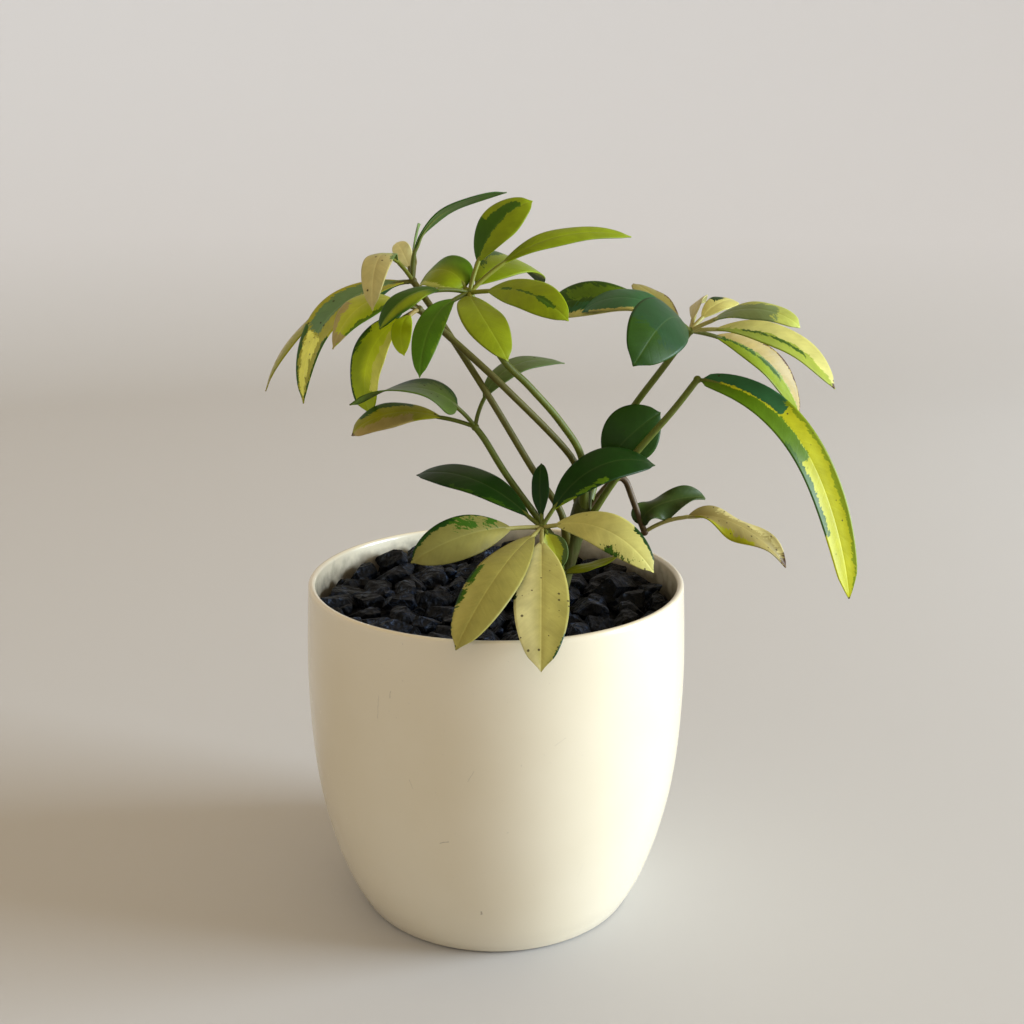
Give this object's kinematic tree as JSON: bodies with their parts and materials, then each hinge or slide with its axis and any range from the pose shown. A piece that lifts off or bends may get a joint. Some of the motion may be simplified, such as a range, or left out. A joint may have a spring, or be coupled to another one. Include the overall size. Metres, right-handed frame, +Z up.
{
  "type": "potted dwarf umbrella plant",
  "caption": "Young variegated dwarf umbrella plant with fans of drooping leaflets, in a round glazed cover pot topped with black stone chips.",
  "frame": {"origin": "centre of the pot's flat underside", "axes": "+Z up; the low fan of cream leaflets hangs over the rim towards -Y; +X to the right as seen from there"},
  "size_m": [0.2315, 0.1621, 0.2825],
  "materials": {
    "cream_glaze": "gloss",
    "soil": "matte",
    "black_stone": "satin",
    "green_bark": "satin",
    "cream_leaf": "satin",
    "lime_leaf": "satin",
    "green_leaf": "satin"
  },
  "bodies": {
    "root": {"pot": "cream_glaze", "potting_soil": "soil", "black_chips": "black_stone", "trunk": "green_bark", "leaf_front_low": "cream_leaf", "leaf_top": "lime_leaf", "leaf_upper_left": "cream_leaf", "leaf_mid_left": "lime_leaf", "leaf_lower_left": "green_leaf", "leaf_upper_right": "cream_leaf", "leaf_long_right": "lime_leaf", "leaf_behind": "green_leaf", "leaf_low_right": "green_leaf", "leaf_basal": "lime_leaf"}
  },
  "joints": []
}
